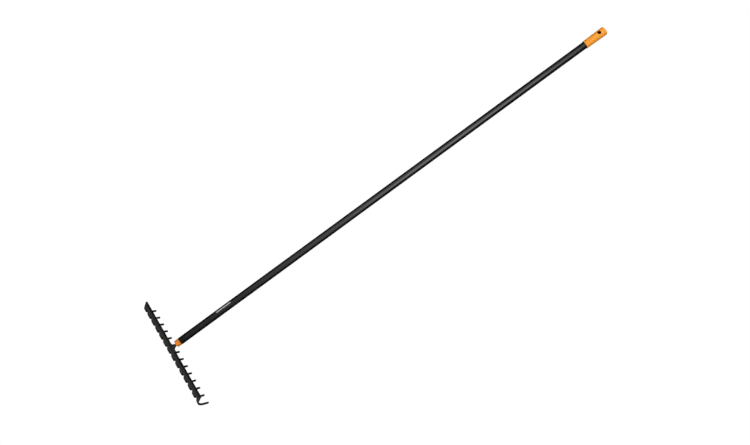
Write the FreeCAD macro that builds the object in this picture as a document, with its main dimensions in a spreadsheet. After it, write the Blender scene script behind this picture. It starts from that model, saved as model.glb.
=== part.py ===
# Level-head garden rake: one stamped toothed bar, a forged neck whose tang runs
# into a plastic plug, a round tube shaft and a plastic end cap with a hanging hole.
#
# Working frame of the drawing (before the rest placement):
#   X along the toothed bar, Y along the shaft towards the user, Z up,
#   origin in the middle of the bar's back edge.  The tines point down (-Z).
# Rest placement: the rake lies on the floor on its tine tips and on the rim of the
# cap, so the whole tool is dipped about X and moved until the tips stand at Z = 0
# and the bounding box is centred on the origin in X and Y.
import FreeCAD, Part
import math
import os
import Sketcher

doc = FreeCAD.newDocument("garden_rake")
V = FreeCAD.Vector

# ----------------------------------------------------------------- dimensions
DIMS = [
    # toothed bar
    ("tine_count", 14), ("tine_pitch", 27.2), ("bar_half", 179.4),
    ("lean_deg", 42.5),        # plate leans forward of straight down
    ("flat_len", 24.0),        # straight part of the plate below the back edge
    ("bend_rad", 41.0),        # centreline radius of the tine's curve
    ("bend_deg", 74.5),        # how far the curve turns
    ("tip_len", 17.5),         # straight end of the tine
    ("plate_thk", 4.0), ("tip_thk", 3.6),
    ("edge_back", -1.1),      # Y of the plate's centreline at the back edge
    ("spine_thk", 5.2), ("spine_len", 7.0), ("spine_round", 0.8),
    ("gap_top", 14.4),         # gap's crown, below the back edge
    ("gap_rad", 6.2),          # gap's crown radius
    ("gap_half_low", 11.0),   # half gap beside the parallel part of the tines
    ("gap_low", 52.0),         # where the taper ends, below the back edge
    ("tip_round", 1.7), ("tip_low", 81.6),
    # neck and tang
    ("neck_dia", 7.6), ("neck_rise_deg", 5.0), ("neck_up", 4.8),
    ("neck_ref", 18.0), ("tang_end", 92.0), ("tang_start", 5.0),
    ("foot_half", 15.5), ("foot_len", 9.5), ("foot_low", -0.6), ("foot_high", 6.0),
    ("foot_front", -1.6),
    ("weld_half", 15.0), ("weld_leg", 2.4),
    # ferrule plug
    ("axis_up", 7.6),
    ("ferrule_from", 15.8), ("tube_from", 32.0), ("plug_to", 88.0),
    ("ferrule_rad_end", 10.5), ("ferrule_rad", 10.9), ("plug_rad", 10.0),
    ("ferrule_round", 2.0), ("tang_fit", 0.02),
    ("pin_dia", 4.0), ("pin_at", 72.0), ("pin_half", 9.0),
    # shaft
    ("tube_dia", 22.5), ("tube_wall", 1.2), ("tube_to", 1549.5), ("tube_edge", 0.3),
    # cap
    ("cap_to", 1627.6), ("cap_rad_low", 12.6), ("cap_rad_high", 13.7),
    ("cap_round", 2.0), ("cap_lip", 1.0), ("cap_spigot", 1505.0), ("cap_core", 6.4),
    ("hang_at", 1605.5), ("hang_dia", 11.6), ("hang_edge", 0.8),
    # rest placement, filled in below
    ("dip_deg", 2.6), ("rest_y", -800.0), ("rest_z", 85.0),
]
sheet = doc.addObject("Spreadsheet::Sheet", "Dims")
D = {}
for row, (name, value) in enumerate(DIMS, start=1):
    sheet.set("A%d" % row, name)
    sheet.set("B%d" % row, str(value))
    sheet.setAlias("B%d" % row, name)
    D[name] = float(value)
doc.recompute()


def set_dim(name, value):
    row = [d[0] for d in DIMS].index(name) + 1
    sheet.set("B%d" % row, repr(round(value, 6)))
    D[name] = round(value, 6)


# ------------------------------------------------------------------- helpers
def new_body(label):
    body = doc.addObject("PartDesign::Body", label)
    body.Label = label
    return body


def plane_of(body, role):
    for feature in body.Origin.OriginFeatures:
        if feature.Role == role:
            return feature
    raise RuntimeError(role)


def new_sketch(body, role, name, offset=None):
    sk = body.newObject("Sketcher::SketchObject", name)
    sk.AttachmentSupport = [(plane_of(body, role), "")]
    sk.MapMode = "FlatFace"
    if offset:
        sk.setExpression(".AttachmentOffset.Base.z", offset)
    return sk


def bind(sk, constraint, expression):
    index = sk.addConstraint(constraint)
    sk.setExpression("Constraints[%d]" % index, expression)
    return index


def at(sk, geo, pos, x, y, ex, ey):
    """hold a point at (x, y) from the sketch origin, both bound to the sheet"""
    if x is not None:
        if ex == "0":
            sk.addConstraint(Sketcher.Constraint("PointOnObject", geo, pos, -2))
        else:
            bind(sk, Sketcher.Constraint("DistanceX", -1, 1, geo, pos, x), ex)
    if y is not None:
        if ey == "0":
            sk.addConstraint(Sketcher.Constraint("PointOnObject", geo, pos, -1))
        else:
            bind(sk, Sketcher.Constraint("DistanceY", -1, 1, geo, pos, y), ey)


def polygon(sk, points):
    """closed polygon; points are (x, y, x expression, y expression)"""
    n = len(points)
    for i in range(n):
        a, b = points[i], points[(i + 1) % n]
        sk.addGeometry(Part.LineSegment(V(a[0], a[1], 0), V(b[0], b[1], 0)), False)
    for i in range(n):
        sk.addConstraint(Sketcher.Constraint("Coincident", i, 2, (i + 1) % n, 1))
    for i in range(n):
        p = points[i]
        at(sk, i, 1, p[0], p[1], p[2], p[3])


def pad(body, sk, name, length, symmetric=True):
    f = body.newObject("PartDesign::Pad", name)
    f.Profile = sk
    f.Midplane = symmetric
    f.setExpression("Length", length)
    sk.Visibility = False
    return f


def edges_where(feature, test):
    out = []
    for i, edge in enumerate(feature.Shape.Edges, start=1):
        if test(edge):
            out.append("Edge%d" % i)
    return out


def lean(body):
    """bind the rest placement of a sub-part"""
    body.setExpression(".Placement.Rotation.Axis.x", "1")
    body.setExpression(".Placement.Rotation.Axis.y", "0")
    body.setExpression(".Placement.Rotation.Axis.z", "0")
    body.setExpression(".Placement.Rotation.Angle", "-Dims.dip_deg * 1 deg")
    body.setExpression(".Placement.Base.y", "Dims.rest_y")
    body.setExpression(".Placement.Base.z", "Dims.rest_z")


rad = math.radians

# ----------------------------------------------------------------- rake head
# The YZ sketch holds the section of the plate: straight, then curved back under,
# then straight to the tip; both faces are offset from one centreline, and the end
# piece thins towards the tip.
head = new_body("rake_head")
sk = new_sketch(head, "YZ_Plane", "plate_section")
a0 = rad(D["lean_deg"])
a1 = rad(D["lean_deg"] - D["bend_deg"])
t2, e2 = D["plate_thk"] / 2, D["tip_thk"] / 2
down = V(-math.sin(a0), -math.cos(a0), 0)          # along the plate, (Y, Z)
face = V(-math.cos(a0), math.sin(a0), 0)           # towards the front face
start = V(D["edge_back"], 0, 0)
knee = start + down * D["flat_len"]
centre = knee - face * D["bend_rad"]
down1 = V(-math.sin(a1), -math.cos(a1), 0)
face1 = V(-math.cos(a1), math.sin(a1), 0)
knee1 = centre + face1 * D["bend_rad"]
tip = knee1 + down1 * D["tip_len"]
ang0 = math.atan2(face.y, face.x)
ang1 = math.atan2(face1.y, face1.x)
if ang1 < 0:
    ang1 += 2 * math.pi
R = D["bend_rad"]
# 0 front straight, 1 front arc, 2 front end, 3 tip, 4 back end, 5 back arc, 6 back straight, 7 back edge
sk.addGeometry(Part.LineSegment(start + face * t2, knee + face * t2), False)
sk.addGeometry(Part.ArcOfCircle(Part.Circle(centre, V(0, 0, 1), R + t2), ang0, ang1), False)
sk.addGeometry(Part.LineSegment(knee1 + face1 * t2, tip + face1 * e2), False)
sk.addGeometry(Part.LineSegment(tip + face1 * e2, tip - face1 * e2), False)
sk.addGeometry(Part.LineSegment(tip - face1 * e2, knee1 - face1 * t2), False)
sk.addGeometry(Part.ArcOfCircle(Part.Circle(centre, V(0, 0, 1), R - t2), ang0, ang1), False)
sk.addGeometry(Part.LineSegment(knee - face * t2, start - face * t2), False)
sk.addGeometry(Part.LineSegment(start - face * t2, start + face * t2), False)
C = Sketcher.Constraint
for con in (C("Coincident", 0, 2, 1, 1), C("Coincident", 1, 2, 2, 1), C("Coincident", 2, 2, 3, 1),
            C("Coincident", 3, 2, 4, 1), C("Coincident", 4, 2, 5, 2), C("Coincident", 5, 1, 6, 1),
            C("Coincident", 6, 2, 7, 1), C("Coincident", 7, 2, 0, 1), C("Coincident", 1, 3, 5, 3)):
    sk.addConstraint(con)
lean_e = "Dims.lean_deg"
end_e = "(Dims.lean_deg - Dims.bend_deg)"
knee_y = "(Dims.edge_back - Dims.flat_len * sin(%s))" % lean_e
knee_z = "(-Dims.flat_len * cos(%s))" % lean_e
cen_y = "(%s + Dims.bend_rad * cos(%s))" % (knee_y, lean_e)
cen_z = "(%s - Dims.bend_rad * sin(%s))" % (knee_z, lean_e)
k1_y = "(%s - Dims.bend_rad * cos(%s))" % (cen_y, end_e)
k1_z = "(%s + Dims.bend_rad * sin(%s))" % (cen_z, end_e)
tip_y = "(%s - Dims.tip_len * sin(%s))" % (k1_y, end_e)
tip_z = "(%s - Dims.tip_len * cos(%s))" % (k1_z, end_e)


def off(base_y, base_z, angle, dist):
    return ("%s - (%s) * cos(%s)" % (base_y, dist, angle),
            "%s + (%s) * sin(%s)" % (base_z, dist, angle))


for geo, pos, p, e in (
        (0, 1, start + face * t2, off("Dims.edge_back", "0", lean_e, "Dims.plate_thk / 2")),
        (0, 2, knee + face * t2, off(knee_y, knee_z, lean_e, "Dims.plate_thk / 2")),
        (1, 3, centre, (cen_y, cen_z)),
        (6, 1, knee - face * t2, off(knee_y, knee_z, lean_e, "-Dims.plate_thk / 2")),
        (6, 2, start - face * t2, off("Dims.edge_back", "0", lean_e, "-Dims.plate_thk / 2")),
        (2, 2, tip + face1 * e2, off(tip_y, tip_z, end_e, "Dims.tip_thk / 2")),
        (3, 2, tip - face1 * e2, off(tip_y, tip_z, end_e, "-Dims.tip_thk / 2"))):
    at(sk, geo, pos, p.x, p.y, e[0], e[1])
# the arcs end on the line through the centre at the end angle
end_pt = knee1 + face1 * t2
e = off(k1_y, k1_z, end_e, "Dims.plate_thk / 2")
bind(sk, C("DistanceY", -1, 1, 2, 1, end_pt.y), e[1])
end_pt = knee1 - face1 * t2
e = off(k1_y, k1_z, end_e, "-Dims.plate_thk / 2")
bind(sk, C("DistanceY", -1, 1, 4, 2, end_pt.y), e[1])
plate = pad(head, sk, "plate", "2 * Dims.bar_half")
doc.recompute()

# thicker back edge, rounded over
sk = new_sketch(head, "YZ_Plane", "spine_section")
s2 = D["spine_thk"] / 2
sl = D["spine_len"]
corner = [start + face * s2, start + face * s2 + down * (sl - 1.5), start + face * t2 * 0.8 + down * (sl + 1.5),
          start - face * t2 * 0.8 + down * (sl + 1.5), start - face * s2 + down * (sl - 1.5), start - face * s2]


def along(dist, side):
    s = "Dims.edge_back - (%s) * sin(Dims.lean_deg) - (%s) * cos(Dims.lean_deg)" % (dist, side)
    z = "-(%s) * cos(Dims.lean_deg) + (%s) * sin(Dims.lean_deg)" % (dist, side)
    return s, z


exprs = [along("0", "Dims.spine_thk / 2"), along("Dims.spine_len - 1.5", "Dims.spine_thk / 2"),
         along("Dims.spine_len + 1.5", "Dims.plate_thk * 0.4"), along("Dims.spine_len + 1.5", "-Dims.plate_thk * 0.4"),
         along("Dims.spine_len - 1.5", "-Dims.spine_thk / 2"), along("0", "-Dims.spine_thk / 2")]
polygon(sk, [(p.x, p.y, e[0], e[1]) for p, e in zip(corner, exprs)])
spine = pad(head, sk, "spine", "2 * Dims.bar_half")
doc.recompute()
rounded = head.newObject("PartDesign::Fillet", "long_edges")
rounded.Base = (spine, edges_where(spine, lambda e: e.Length > 300 and (
    abs(e.BoundBox.ZMin - e.BoundBox.ZMax) < 1e-6) and e.BoundBox.ZMin > -14
    and min(abs(abs((e.BoundBox.YMin - D["edge_back"]) * math.cos(a0) - e.BoundBox.ZMin * math.sin(a0)) - D["spine_thk"] / 2), 9) < 0.01))
rounded.setExpression("Radius", "Dims.spine_round")
doc.recompute()
full = head.Shape.Volume
if "Invalid" in rounded.State or not rounded.Base[1]:
    raise SystemExit("the spine's rounding failed")

# the gaps between the tines: a round crown, tapering sides, parallel lower part and
# the rounding of the tips
sk = new_sketch(head, "XZ_Plane", "gap_profile")
gr, gh = D["gap_rad"], D["gap_half_low"]
cz = -(D["gap_top"] + gr)
gl = -D["gap_low"]
# side line from (gh, gl) tangent to the crown circle
dx, dz = gh, gl - cz
dist = math.hypot(dx, dz)
phi = math.atan2(dz, dx)
theta = phi + math.acos(gr / dist)
tp = V(gr * math.cos(theta), cz + gr * math.sin(theta), 0)
x0 = -6.5 * D["tine_pitch"] - D["tine_pitch"] / 2
tl, tr = -D["tip_low"], D["tip_round"]


def gx(x):
    return V(x0 + x[0], x[1], 0)


pts = dict(rt=gx((tp.x, tp.y)), lt=gx((-tp.x, tp.y)), rl=gx((gh, gl)), ll=gx((-gh, gl)),
           rb=gx((gh, tl + tr)), lb=gx((-gh, tl + tr)), ro=gx((gh + tr, tl)), lo=gx((-gh - tr, tl)))
low = tl - 8
sk.addGeometry(Part.ArcOfCircle(Part.Circle(gx((0, cz)), V(0, 0, 1), gr), theta, math.pi - theta), False)   # 0
sk.addGeometry(Part.LineSegment(pts["lt"], pts["ll"]), False)       # 1
sk.addGeometry(Part.LineSegment(pts["ll"], pts["lb"]), False)       # 2
sk.addGeometry(Part.ArcOfCircle(Part.Circle(gx((-gh - tr, tl + tr)), V(0, 0, 1), tr), -math.pi / 2, 0), False)  # 3
sk.addGeometry(Part.LineSegment(pts["lo"], V(pts["lo"].x, low, 0)), False)     # 4
sk.addGeometry(Part.LineSegment(V(pts["lo"].x, low, 0), V(pts["ro"].x, low, 0)), False)   # 5
sk.addGeometry(Part.LineSegment(V(pts["ro"].x, low, 0), pts["ro"]), False)     # 6
sk.addGeometry(Part.ArcOfCircle(Part.Circle(gx((gh + tr, tl + tr)), V(0, 0, 1), tr), math.pi, 1.5 * math.pi), False)  # 7
sk.addGeometry(Part.LineSegment(pts["rb"], pts["rl"]), False)       # 8
sk.addGeometry(Part.LineSegment(pts["rl"], pts["rt"]), False)       # 9
for con in (C("Tangent", 0, 2, 1, 1), C("Coincident", 1, 2, 2, 1), C("Coincident", 2, 2, 3, 2),
            C("Coincident", 3, 1, 4, 1), C("Coincident", 4, 2, 5, 1), C("Coincident", 5, 2, 6, 1),
            C("Coincident", 6, 2, 7, 2), C("Coincident", 7, 1, 8, 1), C("Coincident", 8, 2, 9, 1),
            C("Tangent", 9, 2, 0, 1)):
    sk.addConstraint(con)
x0_e = "(-Dims.tine_pitch * Dims.tine_count / 2)"
bind(sk, C("Radius", 0, gr), "Dims.gap_rad")
at(sk, 0, 3, x0, cz, x0_e, "-(Dims.gap_top + Dims.gap_rad)")
at(sk, 1, 2, pts["ll"].x, pts["ll"].y, x0_e + " - Dims.gap_half_low", "-Dims.gap_low")
at(sk, 8, 2, pts["rl"].x, pts["rl"].y, x0_e + " + Dims.gap_half_low", "-Dims.gap_low")
at(sk, 2, 2, pts["lb"].x, pts["lb"].y, x0_e + " - Dims.gap_half_low", "-Dims.tip_low + Dims.tip_round")
at(sk, 8, 1, pts["rb"].x, pts["rb"].y, x0_e + " + Dims.gap_half_low", "-Dims.tip_low + Dims.tip_round")
at(sk, 3, 3, x0 - gh - tr, tl + tr, x0_e + " - Dims.gap_half_low - Dims.tip_round", "-Dims.tip_low + Dims.tip_round")
at(sk, 7, 3, x0 + gh + tr, tl + tr, x0_e + " + Dims.gap_half_low + Dims.tip_round", "-Dims.tip_low + Dims.tip_round")
at(sk, 3, 1, x0 - gh - tr, None, x0_e + " - Dims.gap_half_low - Dims.tip_round", None)
at(sk, 7, 2, x0 + gh + tr, None, x0_e + " + Dims.gap_half_low + Dims.tip_round", None)
at(sk, 4, 2, x0 - gh - tr, low, x0_e + " - Dims.gap_half_low - Dims.tip_round", "-Dims.tip_low - 8")
at(sk, 5, 2, x0 + gh + tr, low, x0_e + " + Dims.gap_half_low + Dims.tip_round", "-Dims.tip_low - 8")
gap = head.newObject("PartDesign::Pocket", "gap")
gap.Profile = sk
gap.Type = "Length"
gap.Midplane = True
gap.Length = 160
sk.Visibility = False
doc.recompute()
gaps = head.newObject("PartDesign::LinearPattern", "gaps")
gaps.Originals = [gap]
gaps.Direction = (sk, ["H_Axis"])
gaps.setExpression("Length", "Dims.tine_pitch * Dims.tine_count")
gaps.setExpression("Occurrences", "Dims.tine_count + 1")
head.Tip = gaps
doc.recompute()
cut = head.Shape.Volume
if not cut < 0.8 * full:
    raise SystemExit("the gaps cut nothing: %.0f of %.0f mm3" % (cut, full))
print("rake head %.0f -> %.0f mm3" % (full, cut))

# ------------------------------------------------------------ neck and tang
neck = new_body("neck_tang")
sk = new_sketch(neck, "XY_Plane", "foot_plan")
fh, fl, ff, nr = D["foot_half"], D["foot_len"], D["foot_front"], D["neck_dia"] / 2
# concave flanks: an arc each side, tangent to the neck's side at the top
flank_r = ((fh - nr) ** 2 + fl ** 2) / (2 * (fh - nr))
sweep = math.asin(fl / flank_r)
fy = 1.0
sk.addGeometry(Part.LineSegment(V(-fh, ff, 0), V(fh, ff, 0)), False)                 # 0
sk.addGeometry(Part.LineSegment(V(fh, ff, 0), V(fh, fy, 0)), False)                  # 1
cx = nr + flank_r
sk.addGeometry(Part.ArcOfCircle(Part.Circle(V(cx, fy + fl, 0), V(0, 0, 1), flank_r), math.pi, math.pi + sweep), False)  # 2
sk.addGeometry(Part.LineSegment(V(nr, fy + fl, 0), V(-nr, fy + fl, 0)), False)       # 3
sk.addGeometry(Part.ArcOfCircle(Part.Circle(V(-cx, fy + fl, 0), V(0, 0, 1), flank_r), -sweep, 0), False)               # 4
sk.addGeometry(Part.LineSegment(V(-fh, fy, 0), V(-fh, ff, 0)), False)                # 5
for con in (C("Coincident", 0, 2, 1, 1), C("Coincident", 1, 2, 2, 2), C("Coincident", 2, 1, 3, 1),
            C("Coincident", 3, 2, 4, 2), C("Coincident", 4, 1, 5, 1), C("Coincident", 5, 2, 0, 1)):
    sk.addConstraint(con)
at(sk, 0, 1, -fh, ff, "-Dims.foot_half", "Dims.foot_front")
at(sk, 0, 2, fh, ff, "Dims.foot_half", "Dims.foot_front")
at(sk, 1, 2, fh, fy, "Dims.foot_half", "1")
at(sk, 5, 1, -fh, fy, "-Dims.foot_half", "1")
at(sk, 3, 1, nr, fy + fl, "Dims.neck_dia / 2", "1 + Dims.foot_len")
at(sk, 3, 2, -nr, fy + fl, "-Dims.neck_dia / 2", "1 + Dims.foot_len")
flank_e = "((Dims.foot_half - Dims.neck_dia / 2)^2 + Dims.foot_len^2) / (2 * (Dims.foot_half - Dims.neck_dia / 2))"
bind(sk, C("Radius", 2, flank_r), flank_e)
bind(sk, C("Radius", 4, flank_r), flank_e)
foot = neck.newObject("PartDesign::Pad", "foot")
foot.Profile = sk
foot.SideType = "Two sides"
foot.setExpression("Length", "Dims.foot_high")
foot.setExpression("Length2", "-Dims.foot_low")
sk.Visibility = False
doc.recompute()
# the tang: a round bar that rises slightly towards the shaft's axis
tang = neck.newObject("PartDesign::AdditiveCylinder", "tang")
tang.setExpression("Radius", "Dims.neck_dia / 2")
tang.setExpression("Height", "(Dims.tang_end - Dims.tang_start) / cos(Dims.neck_rise_deg)")
tang.AttachmentSupport = [(plane_of(neck, "XZ_Plane"), "")]
tang.MapMode = "FlatFace"
doc.recompute()
tang.setExpression(".AttachmentOffset.Base.y",
                   "Dims.neck_up + (Dims.tang_start - Dims.neck_ref) * tan(Dims.neck_rise_deg)")
tang.setExpression(".AttachmentOffset.Base.z", "-Dims.tang_start")
# the plane's normal is -Y, so the cylinder is turned over to run towards +Y and tipped up
tang.setExpression(".AttachmentOffset.Rotation.Axis.x", "1")
tang.setExpression(".AttachmentOffset.Rotation.Axis.y", "0")
tang.setExpression(".AttachmentOffset.Rotation.Axis.z", "0")
tang.setExpression(".AttachmentOffset.Rotation.Angle", "180 deg + Dims.neck_rise_deg * 1 deg")
doc.recompute()
print("neck box", neck.Shape.BoundBox)

# the foot's underside is cut to the slope of the bar's back face, and its top falls to the front
sk = new_sketch(neck, "YZ_Plane", "foot_seat")
n_back = D["lean_deg"]


def seat(dist_down, side):
    return along(dist_down, side)


q = [start - face * 8, start + face * 8, start + face * 8 + down * 14, start - face * 8 + down * 14]
qe = [along("0", "-8"), along("0", "8"), along("14", "8"), along("14", "-8")]
polygon(sk, [(p.x, p.y, e[0], e[1]) for p, e in zip(q, qe)])
seat_cut = neck.newObject("PartDesign::Pocket", "seat_cut")
seat_cut.Profile = sk
seat_cut.Type = "Length"
seat_cut.Midplane = True
seat_cut.Length = 60
before = neck.Shape.Volume
sk.Visibility = False
doc.recompute()
print("seat cut %.1f -> %.1f mm3" % (before, neck.Shape.Volume))
if not neck.Shape.Volume < before - 5:
    raise SystemExit("the seat cut removed nothing")
sk = new_sketch(neck, "YZ_Plane", "foot_top")
slope = [(-4.0, 3.4), (-4.0, 12.0), (11.0, 12.0), (11.0, 6.6)]
polygon(sk, [(y, z, "0 + %s" % y, "0 + %s" % z) for y, z in slope])
top_cut = neck.newObject("PartDesign::Pocket", "top_cut")
top_cut.Profile = sk
top_cut.Type = "Length"
top_cut.Midplane = True
top_cut.Length = 60
before = neck.Shape.Volume
sk.Visibility = False
doc.recompute()
print("top cut %.1f -> %.1f mm3" % (before, neck.Shape.Volume))

# ---------------------------------------------------------------- weld beads
# front bead: between the bar's back face and the front of the foot
bead_f = new_body("weld_bead_front")
sk = new_sketch(bead_f, "YZ_Plane", "bead_front_section")
s_ff = (D["foot_front"] - D["edge_back"]) / -math.cos(a0)      # side distance where the foot starts
seat_pt = start + face * s_ff
edge_pt = start + face * s2 * 0.96
top_pt = V(D["foot_front"], seat_pt.y + 1.9, 0)
tri = [(seat_pt.x, seat_pt.y, "Dims.foot_front", "(Dims.edge_back - Dims.foot_front) * tan(Dims.lean_deg)"),
       (top_pt.x, top_pt.y, "Dims.foot_front", "(Dims.edge_back - Dims.foot_front) * tan(Dims.lean_deg) + 1.9"),
       (edge_pt.x - 0.25, edge_pt.y + 0.9, along("0", "Dims.spine_thk * 0.48")[0] + " - 0.25",
        along("0", "Dims.spine_thk * 0.48")[1] + " + 0.9"),
       (edge_pt.x, edge_pt.y, along("0", "Dims.spine_thk * 0.48")[0], along("0", "Dims.spine_thk * 0.48")[1])]
polygon(sk, tri)
pad(bead_f, sk, "bead_front", "2 * Dims.weld_half")
doc.recompute()
# rear bead: in the corner between the foot's underside and the back of the bar
bead_r = new_body("weld_bead_rear")
sk = new_sketch(bead_r, "YZ_Plane", "bead_rear_section")
fz = D["foot_low"]
# foot's underside meets the bar's back face at this Y
y_meet = D["edge_back"] - fz * math.tan(a0) * -1.0
y_meet = D["edge_back"] + (-fz) * math.cos(a0) / math.sin(a0)
back_corner = start - face * s2
leg = D["weld_leg"]
meet_e = "Dims.edge_back - Dims.foot_low * cos(Dims.lean_deg) / sin(Dims.lean_deg)"
tri = [(y_meet, fz, meet_e, "Dims.foot_low"),
       (y_meet + leg, fz, meet_e + " + Dims.weld_leg", "Dims.foot_low"),
       (back_corner.x + 0.5, back_corner.y - 0.3, along("0", "-Dims.spine_thk / 2")[0] + " + 0.5",
        along("0", "-Dims.spine_thk / 2")[1] + " - 0.3"),
       (back_corner.x, back_corner.y, along("0", "-Dims.spine_thk / 2")[0], along("0", "-Dims.spine_thk / 2")[1])]
polygon(sk, tri)
pad(bead_r, sk, "bead_rear", "2 * Dims.weld_half")
doc.recompute()

# -------------------------------------------------------------- ferrule plug
# sketches for turned parts lie in the XY plane, revolved about Y, and the axis is
# lifted by the sub-part's own sketch offset
def turned(body, name, points, core=None):
    sk = new_sketch(body, "XY_Plane", name + "_profile", "Dims.axis_up")
    polygon(sk, points)
    f = body.newObject("PartDesign::Revolution", name)
    f.Profile = sk
    f.ReferenceAxis = (sk, ["V_Axis"])
    f.Angle = 360
    sk.Visibility = False
    return f


plug = new_body("ferrule_plug")
turned(plug, "plug", [
    (0, D["ferrule_from"], "0", "Dims.ferrule_from"),
    (D["ferrule_rad_end"], D["ferrule_from"], "Dims.ferrule_rad_end", "Dims.ferrule_from"),
    (D["ferrule_rad"], D["tube_from"] - 1.5, "Dims.ferrule_rad", "Dims.tube_from - 1.5"),
    (D["ferrule_rad"], D["tube_from"], "Dims.ferrule_rad", "Dims.tube_from"),
    (D["plug_rad"], D["tube_from"], "Dims.plug_rad", "Dims.tube_from"),
    (D["plug_rad"], D["plug_to"], "Dims.plug_rad", "Dims.plug_to"),
    (0, D["plug_to"], "0", "Dims.plug_to")])
doc.recompute()
hole = plug.newObject("PartDesign::SubtractiveCylinder", "tang_hole")
hole.setExpression("Radius", "Dims.neck_dia / 2 + Dims.tang_fit")
hole.setExpression("Height", "(Dims.tang_end + 20 - Dims.tang_start) / cos(Dims.neck_rise_deg)")
hole.AttachmentSupport = [(plane_of(plug, "XZ_Plane"), "")]
hole.MapMode = "FlatFace"
hole.setExpression(".AttachmentOffset.Base.y",
                   "Dims.neck_up + (Dims.tang_start - Dims.neck_ref) * tan(Dims.neck_rise_deg)")
hole.setExpression(".AttachmentOffset.Base.z", "-Dims.tang_start")
hole.setExpression(".AttachmentOffset.Rotation.Axis.x", "1")
hole.setExpression(".AttachmentOffset.Rotation.Axis.y", "0")
hole.setExpression(".AttachmentOffset.Rotation.Axis.z", "0")
hole.setExpression(".AttachmentOffset.Rotation.Angle", "180 deg + Dims.neck_rise_deg * 1 deg")
before = plug.Shape.Volume
doc.recompute()
if not plug.Shape.Volume < before - 500:
    raise SystemExit("the tang hole cut nothing")
rim = edges_where(hole, lambda e: len(e.Vertexes) == 1 and abs(e.BoundBox.YMin - D["ferrule_from"]) < 1e-3
                  and abs(e.BoundBox.YMax - D["ferrule_from"]) < 1e-3
                  and abs(e.BoundBox.XMax - D["ferrule_rad_end"]) < 1e-3)
rnd = plug.newObject("PartDesign::Fillet", "ferrule_rounding")
rnd.Base = (hole, rim)
rnd.setExpression("Radius", "Dims.ferrule_round")
doc.recompute()
pin_hole = plug.newObject("PartDesign::SubtractiveCylinder", "pin_hole")
pin_hole.setExpression("Radius", "Dims.pin_dia / 2")
pin_hole.Height = 40
pin_hole.AttachmentSupport = [(plane_of(plug, "YZ_Plane"), "")]
pin_hole.MapMode = "FlatFace"
pin_hole.setExpression(".AttachmentOffset.Base.x", "Dims.pin_at")
pin_hole.setExpression(".AttachmentOffset.Base.y", "Dims.axis_up + 1")
pin_hole.setExpression(".AttachmentOffset.Base.z", "-20")
before = plug.Shape.Volume
doc.recompute()
if not plug.Shape.Volume < before - 50:
    raise SystemExit("the pin hole cut nothing in the plug %s %s %s" % (before, plug.Shape.Volume, [(o.Name, o.State, o.Shape.BoundBox) for o in plug.Group if hasattr(o, "Shape")]))
tang_pin_hole = neck.newObject("PartDesign::SubtractiveCylinder", "tang_pin_hole")
tang_pin_hole.setExpression("Radius", "Dims.pin_dia / 2")
tang_pin_hole.Height = 40
tang_pin_hole.AttachmentSupport = [(plane_of(neck, "YZ_Plane"), "")]
tang_pin_hole.MapMode = "FlatFace"
tang_pin_hole.setExpression(".AttachmentOffset.Base.x", "Dims.pin_at")
tang_pin_hole.setExpression(".AttachmentOffset.Base.y", "Dims.axis_up + 1")
tang_pin_hole.setExpression(".AttachmentOffset.Base.z", "-20")
before = neck.Shape.Volume
doc.recompute()
if not neck.Shape.Volume < before - 30:
    raise SystemExit("the pin hole cut nothing in the tang")

pin = new_body("tang_pin")
sk = new_sketch(pin, "YZ_Plane", "pin_section")
sk.addGeometry(Part.Circle(V(D["pin_at"], D["axis_up"] + 1, 0), V(0, 0, 1), D["pin_dia"] / 2), False)
bind(sk, C("Radius", 0, D["pin_dia"] / 2), "Dims.pin_dia / 2")
at(sk, 0, 3, D["pin_at"], D["axis_up"] + 1, "Dims.pin_at", "Dims.axis_up + 1")
pinpad = pad(pin, sk, "pin", "2 * Dims.pin_half")
doc.recompute()
ch = pin.newObject("PartDesign::Chamfer", "pin_ends")
ch.Base = (pinpad, edges_where(pinpad, lambda e: len(e.Vertexes) == 1))
ch.Size = 0.5
doc.recompute()

# --------------------------------------------------------------- shaft tube
tube = new_body("shaft_tube")
ro, ri = D["tube_dia"] / 2, D["tube_dia"] / 2 - D["tube_wall"]
te = D["tube_edge"]
ri_e = "Dims.tube_dia / 2 - Dims.tube_wall"
turned(tube, "tube", [
    (ri, D["tube_from"], ri_e, "Dims.tube_from"),
    (ro - te, D["tube_from"], "Dims.tube_dia / 2 - Dims.tube_edge", "Dims.tube_from"),
    (ro, D["tube_from"] + te, "Dims.tube_dia / 2", "Dims.tube_from + Dims.tube_edge"),
    (ro, D["tube_to"], "Dims.tube_dia / 2", "Dims.tube_to"),
    (ri, D["tube_to"], ri_e, "Dims.tube_to")])
doc.recompute()

# ------------------------------------------------------------------ end cap
cap = new_body("end_cap")
cl, cr = D["cap_lip"], D["cap_round"]
turned(cap, "cap", [
    (D["cap_core"], D["cap_spigot"], "Dims.cap_core", "Dims.cap_spigot"),
    (D["plug_rad"] - 0.8, D["cap_spigot"], "Dims.plug_rad - 0.8", "Dims.cap_spigot"),
    (D["plug_rad"], D["cap_spigot"] + 2.5, "Dims.plug_rad", "Dims.cap_spigot + 2.5"),
    (D["plug_rad"], D["tube_to"], "Dims.plug_rad", "Dims.tube_to"),
    (D["cap_rad_low"] - cl, D["tube_to"], "Dims.cap_rad_low - Dims.cap_lip", "Dims.tube_to"),
    (D["cap_rad_low"], D["tube_to"] + cl, "Dims.cap_rad_low", "Dims.tube_to + Dims.cap_lip"),
    (D["cap_rad_high"], D["cap_to"], "Dims.cap_rad_high", "Dims.cap_to"),
    (0, D["cap_to"], "0", "Dims.cap_to"),
    (0, D["tube_to"] + 20, "0", "Dims.tube_to + 20"),
    (D["cap_core"] - 1.2, D["tube_to"] + 18, "Dims.cap_core - 1.2", "Dims.tube_to + 18")])
doc.recompute()
capf = doc.getObject("cap")
end = cap.newObject("PartDesign::Fillet", "cap_end_rounding")
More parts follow.
